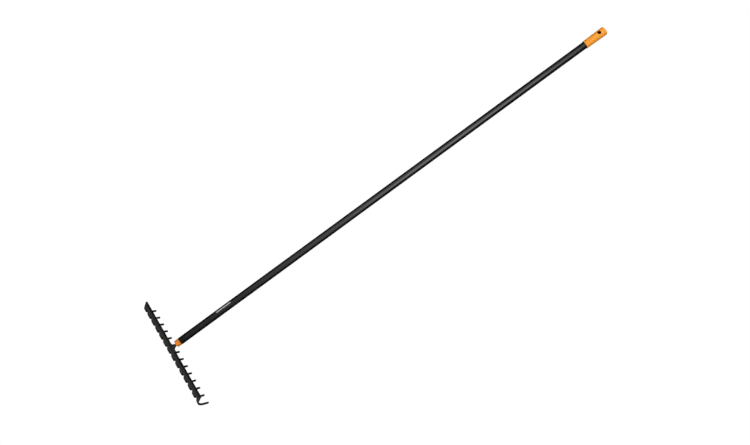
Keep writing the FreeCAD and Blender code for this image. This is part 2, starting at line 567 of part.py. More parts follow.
end.Base = (capf, edges_where(capf, lambda e: len(e.Vertexes) == 1 and abs(e.BoundBox.YMin - D["cap_to"]) < 1e-3
                              and abs(e.BoundBox.XMax - D["cap_rad_high"]) < 1e-3))
end.setExpression("Radius", "Dims.cap_round")
doc.recompute()
hang = cap.newObject("PartDesign::SubtractiveCylinder", "hanging_hole")
hang.setExpression("Radius", "Dims.hang_dia / 2")
hang.Height = 60
hang.AttachmentSupport = [(plane_of(cap, "XY_Plane"), "")]
hang.MapMode = "FlatFace"
hang.setExpression(".AttachmentOffset.Base.y", "Dims.hang_at")
hang.setExpression(".AttachmentOffset.Base.z", "Dims.axis_up - 30")
before = cap.Shape.Volume
doc.recompute()
if not cap.Shape.Volume < before - 1000:
    raise SystemExit("the hanging hole cut nothing")
mouth = edges_where(hang, lambda e: e.BoundBox.XMax < D["hang_dia"] / 2 + 0.01 and e.BoundBox.XMin > -D["hang_dia"] / 2 - 0.01
                    and e.BoundBox.YMin > D["hang_at"] - D["hang_dia"] / 2 - 0.01
                    and e.BoundBox.YMax < D["hang_at"] + D["hang_dia"] / 2 + 0.01
                    and e.BoundBox.ZLength < 4 and e.BoundBox.XLength > 4)
lip = cap.newObject("PartDesign::Fillet", "hole_lip")
lip.Base = (hang, mouth)
lip.setExpression("Radius", "Dims.hang_edge")
doc.recompute()
print("hole mouth edges", mouth, "rim", rim)

# ------------------------------------------------------------ rest placement
NODES = [head, neck, bead_f, bead_r, plug, pin, tube, cap]
# the line through the lowest tine tips and the lowest rim of the cap is the floor
local = [n.Shape.copy() for n in NODES]
dip = D["dip_deg"]


def lowest(shape, angle):
    s = shape.copy()
    s.rotate(V(0, 0, 0), V(1, 0, 0), -angle)
    return s.optimalBoundingBox(False).ZMin


lo, hi = 1.0, 5.0
for _ in range(16):
    mid = (lo + hi) / 2
    if lowest(local[7], mid) > lowest(local[0], mid):
        lo = mid
    else:
        hi = mid
dip = round((lo + hi) / 2, 4)
boxes = []
for s in local:
    s = s.copy()
    s.rotate(V(0, 0, 0), V(1, 0, 0), -dip)
    boxes.append(s.optimalBoundingBox(False))
set_dim("dip_deg", dip)
set_dim("rest_z", -min(b.ZMin for b in boxes))
set_dim("rest_y", -(min(b.YMin for b in boxes) + max(b.YMax for b in boxes)) / 2)
for n in NODES:
    lean(n)
doc.recompute()

# --------------------------------------------------------------- check, write
bad = []
for obj in doc.Objects:
    if "Invalid" in obj.State or "Error" in obj.State:
        bad.append(obj.Name)
for n in NODES:
    shape = n.Shape
    if shape.isNull() or not shape.isValid() or len(shape.Solids) != 1 or shape.Volume <= 0:
        bad.append(n.Label + " shape")
if bad:
    raise SystemExit("failed: " + ", ".join(bad))
for i in range(len(NODES)):
    for j in range(i + 1, len(NODES)):
        common = NODES[i].Shape.common(NODES[j].Shape)
        if common.Volume > 0.01:
            print("overlap %s %s %.3f mm3" % (NODES[i].Label, NODES[j].Label, common.Volume))
os.makedirs("parts", exist_ok=True)
whole = FreeCAD.BoundBox()
for n in NODES:
    n.Shape.exportStep("parts/%s.step" % n.Label)
    whole.add(n.Shape.optimalBoundingBox(False))
    print("%-16s %10.1f mm3 %s" % (n.Label, n.Shape.Volume, n.Shape.BoundBox))
print("whole", whole)
print("rest: dip %.4f deg, y %.4f, z %.4f mm" % (D["dip_deg"], D["rest_y"], D["rest_z"]))
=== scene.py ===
import math

import bmesh
import bpy
import numpy as np
from mathutils import Matrix, Vector, noise


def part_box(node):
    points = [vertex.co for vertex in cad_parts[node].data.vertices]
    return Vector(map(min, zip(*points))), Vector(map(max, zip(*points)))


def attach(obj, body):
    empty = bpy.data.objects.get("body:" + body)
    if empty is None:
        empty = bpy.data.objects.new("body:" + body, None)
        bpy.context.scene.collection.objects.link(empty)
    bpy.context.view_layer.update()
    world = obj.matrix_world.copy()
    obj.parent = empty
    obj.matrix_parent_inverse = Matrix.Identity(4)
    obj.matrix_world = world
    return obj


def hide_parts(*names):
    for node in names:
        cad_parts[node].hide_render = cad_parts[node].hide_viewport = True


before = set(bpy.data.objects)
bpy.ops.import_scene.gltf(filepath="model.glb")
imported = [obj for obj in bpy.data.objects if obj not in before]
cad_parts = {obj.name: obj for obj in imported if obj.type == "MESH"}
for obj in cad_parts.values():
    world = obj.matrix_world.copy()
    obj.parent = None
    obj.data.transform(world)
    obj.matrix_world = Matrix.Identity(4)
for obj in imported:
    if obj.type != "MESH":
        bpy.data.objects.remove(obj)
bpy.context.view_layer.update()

# --------------------------------------------------------------------------
# The tool's own axes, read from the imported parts: X along the bar, Y along the
# shaft from the head to the cap, Z square to both.  The shaft is a tube of
# 22.5 mm whose box at rest gives how far it dips.
# --------------------------------------------------------------------------
TUBE_R = 0.01125
TUBE_FROM, TUBE_TO, AXIS_UP = 0.0320, 1.5495, 0.0076
t_lo, t_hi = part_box("shaft_tube")
dy, dz = t_hi.y - t_lo.y, t_hi.z - t_lo.z
dip = 0.04
for _ in range(60):
    dip = math.atan2(dz - 2 * TUBE_R * math.cos(dip), dy - 2 * TUBE_R * math.sin(dip))
ROT = Matrix.Rotation(-dip, 3, "X")
# the tube's lower end centre in the row frame
low_end = Vector((0.0,
                  t_lo.y + TUBE_R * math.sin(dip),
                  t_hi.z - TUBE_R * math.cos(dip)))
ORIGIN = low_end - ROT @ Vector((0.0, TUBE_FROM, AXIS_UP))
LOCAL = Matrix.Translation(ORIGIN) @ ROT.to_4x4()


def local(x, y, z):
    return LOCAL @ Vector((x, y, z))


# --------------------------------------------------------------------------
# small node-building helpers
# --------------------------------------------------------------------------
class Mat:
    def __init__(self, name):
        self.m = bpy.data.materials.new(name)
        self.m.use_nodes = True
        self.t = self.m.node_tree
        self.t.nodes.clear()
        self.out = self.t.nodes.new("ShaderNodeOutputMaterial")
        self.bsdf = self.t.nodes.new("ShaderNodeBsdfPrincipled")
        self.t.links.new(self.bsdf.outputs[0], self.out.inputs[0])
        self.geo = self.t.nodes.new("ShaderNodeNewGeometry")

    def n(self, kind, **kw):
        node = self.t.nodes.new(kind)
        for k, v in kw.items():
            setattr(node, k, v)
        return node

    def link(self, a, b):
        self.t.links.new(a, b)

    def pos(self, scale=(1, 1, 1), rot=(0, 0, 0), loc=(0, 0, 0), along=True):
        """object-space coordinates turned into the tool's axes, then scaled"""
        tc = self.n("ShaderNodeTexCoord")
        mp = self.n("ShaderNodeMapping", vector_type="POINT")
        mp.inputs["Rotation"].default_value = (dip if along else 0.0, 0, 0)
        if along:
            mp.inputs["Location"].default_value = -(ROT.transposed() @ ORIGIN)
        self.link(tc.outputs["Object"], mp.inputs["Vector"])
        mp2 = self.n("ShaderNodeMapping", vector_type="POINT")
        mp2.inputs["Scale"].default_value = scale
        mp2.inputs["Location"].default_value = loc
        mp2.inputs["Rotation"].default_value = rot
        self.link(mp.outputs[0], mp2.inputs["Vector"])
        return mp2.outputs[0]

    def noise(self, vec, scale, detail=3.0, rough=0.5, dist=0.0):
        nd = self.n("ShaderNodeTexNoise")
        nd.inputs["Scale"].default_value = scale
        nd.inputs["Detail"].default_value = detail
        nd.inputs["Roughness"].default_value = rough
        nd.inputs["Distortion"].default_value = dist
        self.link(vec, nd.inputs["Vector"])
        return nd.outputs["Fac"]

    def math(self, op, a, b=None, clamp=False):
        nd = self.n("ShaderNodeMath", operation=op, use_clamp=clamp)
        for i, v in enumerate((a, b)):
            if v is None:
                continue
            if isinstance(v, (int, float)):
                nd.inputs[i].default_value = v
            else:
                self.link(v, nd.inputs[i])
        return nd.outputs[0]

    def ramp(self, fac, stops, interp="LINEAR"):
        nd = self.n("ShaderNodeValToRGB")
        nd.color_ramp.interpolation = interp
        els = nd.color_ramp.elements
        while len(els) < len(stops):
            els.new(0.5)
        for e, (p, c) in zip(els, stops):
            e.position = p
            e.color = c if len(c) == 4 else (*c, 1.0)
        self.link(fac, nd.inputs[0])
        return nd.outputs[0]

    def span(self, v, a, b, c=0.0, d=1.0, smooth=True):
        nd = self.n("ShaderNodeMapRange", clamp=True)
        nd.interpolation_type = "SMOOTHSTEP" if smooth else "LINEAR"
        nd.inputs["From Min"].default_value = a
        nd.inputs["From Max"].default_value = b
        nd.inputs["To Min"].default_value = c
        nd.inputs["To Max"].default_value = d
        self.link(v, nd.inputs["Value"])
        return nd.outputs["Result"]

    def mix(self, fac, a, b):
        nd = self.n("ShaderNodeMix", data_type="RGBA")
        for sock, v in ((nd.inputs["Factor"], fac), (nd.inputs["A"], a), (nd.inputs["B"], b)):
            if isinstance(v, (tuple, list)):
                sock.default_value = (*v, 1.0) if len(v) == 3 else v
            elif isinstance(v, (int, float)):
                sock.default_value = v
            else:
                self.link(v, sock)
        # the colour sockets are the RGBA ones
        return nd

    def blend(self, fac, a, b):
        nd = self.n("ShaderNodeMix", data_type="RGBA")
        col_in = [s for s in nd.inputs if s.type == "RGBA"]
        fac_in = [s for s in nd.inputs if s.type == "VALUE"][0]
        for sock, v in ((fac_in, fac), (col_in[0], a), (col_in[1], b)):
            if isinstance(v, (tuple, list)):
                sock.default_value = (*v, 1.0) if len(v) == 3 else v
            elif isinstance(v, (int, float)):
                sock.default_value = v
            else:
                self.link(v, sock)
        return [s for s in nd.outputs if s.type == "RGBA"][0]

    def bump(self, height, strength, distance, normal=None):
        nd = self.n("ShaderNodeBump")
        nd.inputs["Strength"].default_value = strength
        nd.inputs["Distance"].default_value = distance
        self.link(height, nd.inputs["Height"])
        if normal is not None:
            self.link(normal, nd.inputs["Normal"])
        return nd.outputs[0]

    def set(self, **kw):
        for k, v in kw.items():
            self.bsdf.inputs[k.replace("_", " ")].default_value = v

    def parts(self, vec):
        nd = self.n("ShaderNodeSeparateXYZ")
        self.link(vec, nd.inputs[0])
        return nd.outputs

    def cells(self, vec, scale, rand=1.0, feature="DISTANCE_TO_EDGE"):
        nd = self.n("ShaderNodeTexVoronoi", feature=feature)
        nd.inputs["Scale"].default_value = scale
        nd.inputs["Randomness"].default_value = rand
        self.link(vec, nd.inputs["Vector"])
        return nd.outputs["Distance"]



# settings of the set: the mark's place on the tube, the dome, the key light and the camera
MARK_0, MARK_1, MARK_DEG = 167.0, 220.0, 95.0
DOME, DOME_LO, DOME_HI, SWEEP = 1.30, 0.36, 0.60, 0.30
DOME_TILT, DOME_Y0, DOME_Y1, DOME_FRONT = 0.32, -0.24, 0.06, 0.06
KEY_AT, KEY_SIZE, KEY_L = (0.95, 1.42, 1.50), (1.3, 1.3), 2.8
FILL_AT, FILL_SIZE, FILL_L = (0.2, -1.6, 1.25), (1.2, 1.2), 3.2
BACK_AT, BACK_SIZE, BACK_L = (0.0, 3.5, 1.7), (1.2, 1.2), 0.75
BOUNCE = 0.22
CAM_LENS = 36.1328
CAM_RIGHT, CAM_FWD = (0.557661, 0.805367, -0.200993), (-0.395794, 0.04515, -0.917229)
CAM_T = (-0.603373, 0.374379, 2.249437)

# --------------------------------------------------------------------------
# materials
# --------------------------------------------------------------------------
def powder_black(name, base, base2, rough_lo, rough_hi, peel=1.0, dust=0.0, tip_wear_and_edge_shade=False):
    """satin black powder coat: orange peel, a drift in tone, fine rubbed streaks and specks; for the head also rubbed
    tine tips and painted shade along the plate's back edge
    """
    m = Mat(name)
    p = m.pos()
    x, y, z = m.parts(p)
    big = m.noise(p, 7.0, 3.0, 0.55)
    mid = m.noise(p, 60.0, 4.0, 0.6)
    fine = m.noise(p, 750.0, 2.0, 0.5)
    grit = m.noise(p, 2400.0, 2.0, 0.6)
    streak = m.noise(m.pos(scale=(380.0, 9.0, 380.0)), 1.0, 3.0, 0.6)
    tone = m.math("ADD", m.math("MULTIPLY", big, 0.6), m.math("MULTIPLY", mid, 0.4))
    col = m.blend(m.span(tone, 0.36, 0.64), base, base2)
    speck = m.span(m.noise(p, 320.0, 1.0, 0.5), 0.70, 0.76)
    col = m.blend(m.math("MULTIPLY", speck, 0.5), col, tuple(c * 2.1 for c in base2))
    rub = m.math("MULTIPLY", m.span(streak, 0.62, 0.78), 0.35)
    col = m.blend(rub, col, tuple(c * 1.5 for c in base2))
    r = m.math("ADD", m.span(mid, 0.3, 0.7, rough_lo, rough_hi, False),
               m.math("MULTIPLY", m.span(streak, 0.62, 0.8), 0.07))
    if dust:
        soil = m.math("MULTIPLY", m.span(m.noise(p, 26.0, 5.0, 0.65), 0.50, 0.72), dust)
        col = m.blend(soil, col, (0.055, 0.050, 0.044))
        r = m.math("ADD", r, m.math("MULTIPLY", soil, 0.5))
    if tip_wear_and_edge_shade:
        # the last centimetre and a half of each tine is rubbed duller, with a few bare scuffs
        low = m.span(z, -0.066, -0.080)
        scuff = m.math("MULTIPLY", low, m.span(m.noise(m.pos(scale=(300.0, 500.0, 140.0)), 1.0, 3.0, 0.6), 0.50, 0.66))
        col = m.blend(m.math("MULTIPLY", scuff, 0.55), col, (0.075, 0.075, 0.078))
        r = m.math("SUBTRACT", r, m.math("MULTIPLY", scuff, 0.10))
        # painted shade: the back edge of the plate, which faces away from the light, is painted a deeper black, and its
        # specular is lowered
        down = m.math("ADD", m.math("MULTIPLY", m.math("ADD", y, 0.0011), -0.6756), m.math("MULTIPLY", z, -0.7373))
        back_edge_painted_shade = m.span(down, 0.0130, 0.0040)
        col = m.blend(m.math("MULTIPLY", back_edge_painted_shade, 0.75), col, (0.0020, 0.0020, 0.0021))
        m.link(m.math("SUBTRACT", 0.5, m.math("MULTIPLY", back_edge_painted_shade, 0.30)), m.bsdf.inputs["Specular IOR Level"])
    m.link(col, m.bsdf.inputs["Base Color"])
    m.link(r, m.bsdf.inputs["Roughness"])
    nrm = m.bump(mid, 0.30 * peel, 0.00030)
    nrm = m.bump(fine, 0.42 * peel, 0.00012, nrm)
    nrm = m.bump(grit, 0.20 * peel, 0.00005, nrm)
    m.link(nrm, m.bsdf.inputs["Normal"])
    return m


def moulded_orange(name, hole=False):
    """satin moulded plastic: fine spark-eroded grain, flow marks, faint handling dirt, a painted shade line next to the
    joint with the tube, and on the cap painted shade in the bore of the hanging hole; the ferrule's darker orange is
    painted shade too
    """
    m = Mat(name)
    p = m.pos()
    x, y, z = m.parts(p)
    drift = m.noise(p, 24.0, 3.0, 0.5)
    flow = m.noise(m.pos(scale=(160.0, 22.0, 160.0)), 1.0, 2.0, 0.5)
    grain = m.noise(p, 1500.0, 3.0, 0.6)
    pits = m.cells(p, 1100.0, 1.0)
    tone = m.math("ADD", m.math("MULTIPLY", drift, 0.6), m.math("MULTIPLY", flow, 0.4))
    # the ferrule takes the darker orange, which is painted shade
    col = m.blend(m.span(tone, 0.36, 0.64), *CAP_AND_SHADED_FERRULE_ORANGES["cap" if hole else "ferrule"])
    dirt = m.math("MULTIPLY", m.span(m.noise(p, 55.0, 5.0, 0.65), 0.56, 0.74), 0.10)
    col = m.blend(dirt, col, (0.30, 0.11, 0.03))
    if hole:
        # painted shade: the bore of the hanging hole is painted near-black
        dx2 = m.math("MULTIPLY", x, x)
        dyc = m.math("SUBTRACT", y, HANG_Y * 0.001)
        rr = m.math("SQRT", m.math("ADD", dx2, m.math("MULTIPLY", dyc, dyc)))
        hole_painted_shade = m.span(rr, (HANG_R + 0.45) * 0.001, (HANG_R + 0.12) * 0.001)
        col = m.blend(m.math("MULTIPLY", hole_painted_shade, 0.94), col, (0.030, 0.012, 0.004))
        # a thin line of painted shade on the orange next to its joint with the tube, on the cap and on the ferrule
        # alike
    joint_painted_shade = m.span(y, (CAP_Y + 1.5) * 0.001, (CAP_Y + 0.5) * 0.001) if hole else \
        m.span(y, (TUBE_Y - 2.4) * 0.001, (TUBE_Y - 1.1) * 0.001)
    col = m.blend(m.math("MULTIPLY", joint_painted_shade, 0.85), col, (0.060, 0.020, 0.006))
    m.link(col, m.bsdf.inputs["Base Color"])
    m.link(m.math("ADD", m.span(grain, 0.3, 0.7, 0.40, 0.50, False), m.math("MULTIPLY", dirt, 1.2)),
           m.bsdf.inputs["Roughness"])
    nrm = m.bump(grain, 0.16, 0.00005)
    nrm = m.bump(pits, 0.08, 0.00004, nrm)
    m.link(nrm, m.bsdf.inputs["Normal"])
    m.set(IOR=1.49)
    m.bsdf.inputs["Specular IOR Level"].default_value = 0.34
    return m


def plain_print(name, colour):
    """pale pad-printed ink, slightly worn"""
    m = Mat(name)
    p = m.pos()
    worn = m.span(m.noise(p, 900.0, 4.0, 0.65), 0.56, 0.74)
    m.link(m.blend(m.math("MULTIPLY", worn, 0.55), colour, tuple(c * 0.45 for c in colour)),
           m.bsdf.inputs["Base Color"])
    m.link(m.span(worn, 0.0, 1.0, 0.45, 0.62, False), m.bsdf.inputs["Roughness"])
    m.link(m.bump(m.noise(p, 750.0, 2.0), 0.25, 0.00005), m.bsdf.inputs["Normal"])
    return m


# key sizes, millimetres, in the tool's axes
AX = 7.6
TUBE_Y, CAP_Y, CAP_END = 32.0, 1549.5, 1627.6
HANG_Y, HANG_R = 1605.5, 5.8
# the cap's orange, and for the ferrule the same plastic painted darker and redder: painted shade for the dimmer light
# at the head end
CAP_AND_SHADED_FERRULE_ORANGES = {"cap": ((0.91, 0.320, 0.018), (0.96, 0.360, 0.026)), "ferrule": ((0.85, 0.245, 0.014), (0.92, 0.280, 0.020))}

shaft_mat = powder_black("shaft_powder_black", (0.0052, 0.0054, 0.0058), (0.0078, 0.0080, 0.0084), 0.20, 0.28, 0.6)
head_mat = powder_black("head_powder_black", (0.0080, 0.0082, 0.0084), (0.0120, 0.0122, 0.0122), 0.44, 0.54, 1.3, dust=0.10, tip_wear_and_edge_shade=True)
neck_mat = powder_black("neck_powder_black", (0.0080, 0.0082, 0.0084), (0.0115, 0.0117, 0.0118), 0.42, 0.52, 1.3, dust=0.08)
weld_mat = powder_black("weld_powder_black", (0.0075, 0.0077, 0.0079), (0.0120, 0.0121, 0.0121), 0.40, 0.55, 1.6, dust=0.12)
cap_mat = moulded_orange("cap_moulded_orange", hole=True)
ferrule_mat = moulded_orange("ferrule_moulded_orange_painted_shade")
print_mat = plain_print("pale_print", (0.50, 0.50, 0.485))

steel = Mat("pin_turned_steel")
sp = steel.pos(scale=(40, 1200, 1200))
lines = steel.noise(sp, 1.0, 4.0, 0.6)
steel.set(Metallic=1.0)
steel.link(steel.blend(steel.span(lines, 0.3, 0.7), (0.46, 0.46, 0.47), (0.60, 0.60, 0.61)), steel.bsdf.inputs["Base Color"])
steel.link(steel.span(lines, 0.3, 0.7, 0.24, 0.40, False), steel.bsdf.inputs["Roughness"])
steel.link(steel.bump(lines, 0.2, 0.00004), steel.bsdf.inputs["Normal"])


# --------------------------------------------------------------------------
# mesh building: everything below is in millimetres in the tool's axes
# --------------------------------------------------------------------------
def build(name, verts, faces, mat, slot, node=None, sharp=35.0):
    me = bpy.data.meshes.new(name)
    me.from_pydata([LOCAL @ (Vector(v) * 0.001) for v in verts], [], faces)
    bm = bmesh.new()
    bm.from_mesh(me)
    bmesh.ops.remove_doubles(bm, verts=bm.verts, dist=1e-7)
    bmesh.ops.recalc_face_normals(bm, faces=bm.faces)
    bm.to_mesh(me)
    bm.free()
    for poly in me.polygons:
        poly.use_smooth = True
    me.set_sharp_from_angle(angle=math.radians(sharp))
    me.materials.append(mat.m)
    o = bpy.data.objects.new(name, me)
    bpy.context.scene.collection.objects.link(o)
    if slot:
        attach(o, "root")
    if node:
        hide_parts(node)
    return o


def turn(profile, seg, loop=False, ridge=0.0):
    """turn (radius, y) points about the shaft's axis; a ridge is a parting line on both sides"""
    verts, faces, rings = [], [], []
    for r, y in profile:
        if r < 1e-6:
            rings.append([len(verts)])
            verts.append((0.0, y, AX))
            continue
        ring = []
        for k in range(seg):
            t = 2 * math.pi * k / seg
            q = r + (ridge if k in (0, seg // 2) else 0.0)
            ring.append(len(verts))
            verts.append((q * math.cos(t), y, AX + q * math.sin(t)))
        rings.append(ring)
    for a, b in zip(rings, rings[1:] + ([rings[0]] if loop else [])):
        for k in range(seg):
            j = (k + 1) % seg
            if len(a) == 1 and len(b) > 1:
                faces.append((a[0], b[j], b[k]))
            elif len(b) == 1 and len(a) > 1:
                faces.append((a[k], a[j], b[0]))
            elif len(a) > 1:
                faces.append((a[k], a[j], b[j], b[k]))
    return verts, faces


def round_off(points, n=6):
    """points are (a, b, radius): a polyline whose corners are rounded by that radius"""
    out = []
    for i, (a, b, rad) in enumerate(points):
        if rad <= 0 or i in (0, len(points) - 1):
            out.append((a, b))
            continue
        p, q, s = Vector(points[i - 1][:2]), Vector((a, b)), Vector(points[i + 1][:2])
        u, v = (p - q).normalized(), (s - q).normalized()
        half = math.acos(max(-1.0, min(1.0, u.dot(v)))) / 2
        d = min(rad / math.tan(half), 0.49 * (p - q).length, 0.49 * (s - q).length)
        rr = d * math.tan(half)
        c = q + (u + v).normalized() * (rr / math.sin(half))
        a0, a1 = q + u * d - c, q + v * d - c
        t0, t1 = math.atan2(a0.y, a0.x), math.atan2(a1.y, a1.x)
        dt = (t1 - t0 + math.pi) % (2 * math.pi) - math.pi
        for k in range(n + 1):
            t = t0 + dt * k / n
            out.append((c.x + rr * math.cos(t), c.y + rr * math.sin(t)))
    return out


def with_rings(profile, step):
    """add points along the long runs of a profile"""
    out = [profile[0]]
    for (r0, y0), (r1, y1) in zip(profile, profile[1:]):
        n = max(1, int(math.hypot(r1 - r0, y1 - y0) / step))
        out += [(r0 + (r1 - r0) * k / n, y0 + (y1 - y0) * k / n) for k in range(1, n + 1)]
    return out


def cut(target, verts, faces):
    """take a closed cutter away from a piece and keep the result as its mesh"""
    tool = build(target.name + "_cutter", verts, faces, cap_mat, None)
    mod = target.modifiers.new("cut", "BOOLEAN")
    mod.operation, mod.solver, mod.object = "DIFFERENCE", "EXACT", tool
    bpy.context.view_layer.update()
    deps = bpy.context.evaluated_depsgraph_get()
    me = bpy.data.meshes.new_from_object(target.evaluated_get(deps))
    me.name = target.name
    target.modifiers.clear()
    target.data = me
    bpy.data.objects.remove(tool, do_unlink=True)
    for poly in me.polygons:
        poly.use_smooth = True
    me.set_sharp_from_angle(angle=math.radians(30))


# shaft: thin tube, open inside, with a broken outer edge at each end
prof = with_rings(round_off([(10.65, TUBE_Y, 0), (11.25, TUBE_Y, 0.3), (11.25, CAP_Y, 0.2), (10.05, CAP_Y, 0.15),
                             (10.05, TUBE_Y, 0.25), (10.65, TUBE_Y, 0)], 4), 25.0)
build("shaft", *turn(prof[:-1], 96, loop=True), shaft_mat, "shaft_coating", "shaft_tube", 40)

# ferrule: rounded nose, body, a shoulder that stops half a millimetre short of the tube, and the plug
prof = round_off([(0, 15.8, 0), (10.5, 15.8, 2.0), (10.9, 31.3, 0.35), (10.0, 31.45, 0.1),
                  (10.0, 88.0, 0.9), (0, 88.0, 0)], 8)
ferrule = build("ferrule", *turn(with_rings(prof, 3.0), 128, ridge=0.06), ferrule_mat, "orange_plastic", "ferrule_plug", 32)
# the tang's hole through the nose, with a countersunk mouth
rise = math.radians(5.0)


def tang_at(y):
    return 4.8 + (y - 18.0) * math.tan(rise)


def rod(stations, seg=48):
    """closed round bar along the tang's line; stations are (y, radius)"""
    verts, faces = [], []
    for y, r in stations:
        for k in range(seg):
            t = 2 * math.pi * k / seg
            verts.append((r * math.cos(t), y - r * math.sin(t) * math.sin(rise), tang_at(y) + r * math.sin(t) * math.cos(rise)))
    for i in range(len(stations) - 1):
        for k in range(seg):
            j = (k + 1) % seg
            a = i * seg
            faces.append((a + k, a + j, a + seg + j, a + seg + k))
    faces.append(tuple(range(seg))[::-1])
    faces.append(tuple(range((len(stations) - 1) * seg, len(stations) * seg)))
    return verts, faces


cut(ferrule, *rod([(12.0, 5.4), (15.7, 5.0), (16.6, 4.2), (24.0, 4.1), (94.0, 3.86)]))

# end cap: spigot, a fine seam groove, tapered body, rounded end with a gate mark
def cap_r(y):
    return 12.6 + 1.1 * (y - CAP_Y) / (CAP_END - CAP_Y)


prof = round_off([(0, CAP_Y + 20, 0), (5.2, CAP_Y + 18, 0.8), (6.4, 1505.0, 0.3), (9.2, 1505.0, 0.3), (10.0, 1507.5, 0.4),
                  (10.0, CAP_Y, 0), (11.0, CAP_Y, 0), (11.0, CAP_Y + 0.45, 0), (11.7, CAP_Y + 0.45, 0.1),
                  (cap_r(CAP_Y + 1.3), CAP_Y + 1.3, 0.7), (cap_r(CAP_END) - 0.06, CAP_END - 0.03, 2.0), (3.1, CAP_END - 0.03, 0.1),
                  (2.8, CAP_END - 0.35, 0.1), (0, CAP_END - 0.35, 0)], 8)
cap = build("cap", *turn(with_rings(prof, 4.0), 160, ridge=0.06), cap_mat, "orange_plastic", "end_cap", 32)


def hole_cutter(seg=72, ease=0.95):
    """a pin whose ends flare to follow the cap's round surface, so the hole's mouth is eased"""
    def skin(x, y):
        return math.sqrt(cap_r(y) ** 2 - x * x)
    rings = []
    for beta in (0, 15, 30, 45, 60, 72, 82):
        b = math.radians(beta)
        rings.append((HANG_R + ease * (1 - math.cos(b)), ease * (1 - math.sin(b))))
    verts, faces, n = [], [], 0
    ladder = []
    for r, d in rings[::-1]:
        ladder.append((r, d, 1))
    for r, d in rings:
        ladder.append((r, d, -1))
    r_out = rings[-1][0] + 0.01
    ladder = [(r_out, None, 1)] + ladder + [(r_out, None, -1)]
    for r, d, side in ladder:
        for k in range(seg):
            t = 2 * math.pi * k / seg
            x, y = r * math.cos(t), HANG_Y + r * math.sin(t)
            h = 18.0 if d is None else skin(x, y) - d
            verts.append((x, y, AX + side * h))
    for i in range(len(ladder) - 1):
        for k in range(seg):
            j = (k + 1) % seg
            a = i * seg
            faces.append((a + k, a + j, a + seg + j, a + seg + k))
    faces.append(tuple(range(seg)))
    faces.append(tuple(range((len(ladder) - 1) * seg, len(ladder) * seg))[::-1])
    return verts, faces


cut(cap, *hole_cutter())

# toothed bar: one sheet laid out by tine, bent along the plate's section, then given its
# thickness and rounded edges
A0, BEND, RAD, FLAT, TIP = math.radians(42.5), math.radians(74.5), 41.0, 24.0, 17.5
LENGTH = FLAT + RAD * BEND + TIP
BACK = -1.1
PITCH = 27.2


def section(s):
    """centreline point (y, z) and the front face's normal at a length s down the plate"""
    if s <= FLAT:
        a = A0
        y, z = BACK - s * math.sin(a), -s * math.cos(a)
    else:
        ky, kz = BACK - FLAT * math.sin(A0), -FLAT * math.cos(A0)
        cy, cz = ky + RAD * math.cos(A0), kz - RAD * math.sin(A0)
        a = A0 - min(s - FLAT, RAD * BEND) / RAD
        y, z = cy - RAD * math.cos(a), cz + RAD * math.sin(a)
        rest = max(0.0, s - FLAT - RAD * BEND)
        y, z = y - rest * math.sin(a), z - rest * math.cos(a)
    return y, z, (-math.cos(a), math.sin(a))


def half_thick(s):
    if s < 8.5:
        u = min(1.0, max(0.0, (s - 5.2) / 2.9))
        return 2.6 + (2.0 - 2.6) * u * u * (3 - 2 * u)
    end = FLAT + RAD * BEND
    return 2.0 if s < end else 2.0 - 0.2 * (s - end) / TIP


table = [(-section(LENGTH * i / 2000)[1], LENGTH * i / 2000) for i in range(2001)]


def s_of(depth):
    for (d0, s0), (d1, s1) in zip(table, table[1:]):
        if d1 >= depth:
            return s0 + (s1 - s0) * (depth - d0) / (d1 - d0)
    return LENGTH


G_TOP, G_R, G_LOW, G_AT = 15.6, 6.2, 11.0, 52.0
g_c = G_TOP + G_R
vx, vz = G_LOW, -(G_AT - g_c)
g_dist = math.hypot(vx, vz)
g_theta = math.atan2(vz, vx) + math.acos(G_R / g_dist)
g_tx, g_td = G_R * math.cos(g_theta), g_c - G_R * math.sin(g_theta)


def gap_half(d):
    if d <= G_TOP:
        return 0.0
    if d < g_td:
        return math.sqrt(max(0.0, G_R ** 2 - (d - g_c) ** 2))
    if d < G_AT:
        return g_tx + (G_LOW - g_tx) * (d - g_td) / (G_AT - g_td)
    return G_LOW


rows = [LENGTH * 0.0]
rows += [s_of(G_TOP) * k / 9 for k in range(1, 10)]
crown = math.acos((g_c - g_td) / G_R)
rows += [s_of(g_c - G_R * math.cos(crown * k / 9)) for k in range(1, 10)]
s_now = rows[-1]
n_rows = 34
rows += [s_now + (LENGTH - 1.9 - s_now) * k / n_rows for k in range(1, n_rows + 1)]
rows += [LENGTH - 1.9 * math.cos(math.radians(b)) if b < 90 else LENGTH for b in (25, 45, 62, 76, 90)]
first_gap = 9          # this row touches the crown; the rows below it are split
COLS = 8
verts, keys = [], {}


def vert(i_row, s, x, side):
    key = (i_row, round(x, 5), side)
    if key not in keys:
        y, z, n = section(s)
        t = half_thick(s) * side
        keys[key] = len(verts)
        verts.append((x, y + n[0] * t, z + n[1] * t))
    return keys[key]


def span_of(tine, s):
    xc = (tine - 6.5) * PITCH
    d = -section(s)[1]
    hw = PITCH / 2 - gap_half(d)
    end = s - (LENGTH - 1.9)
    if end > 0:
        hw = min(hw, 2.6) - 1.7 * (1 - math.sqrt(max(0.0, 1 - (end / 1.9) ** 2)))
    lo, hi = max(xc - hw, -179.4), min(xc + hw, 179.4)
    return lo, hi


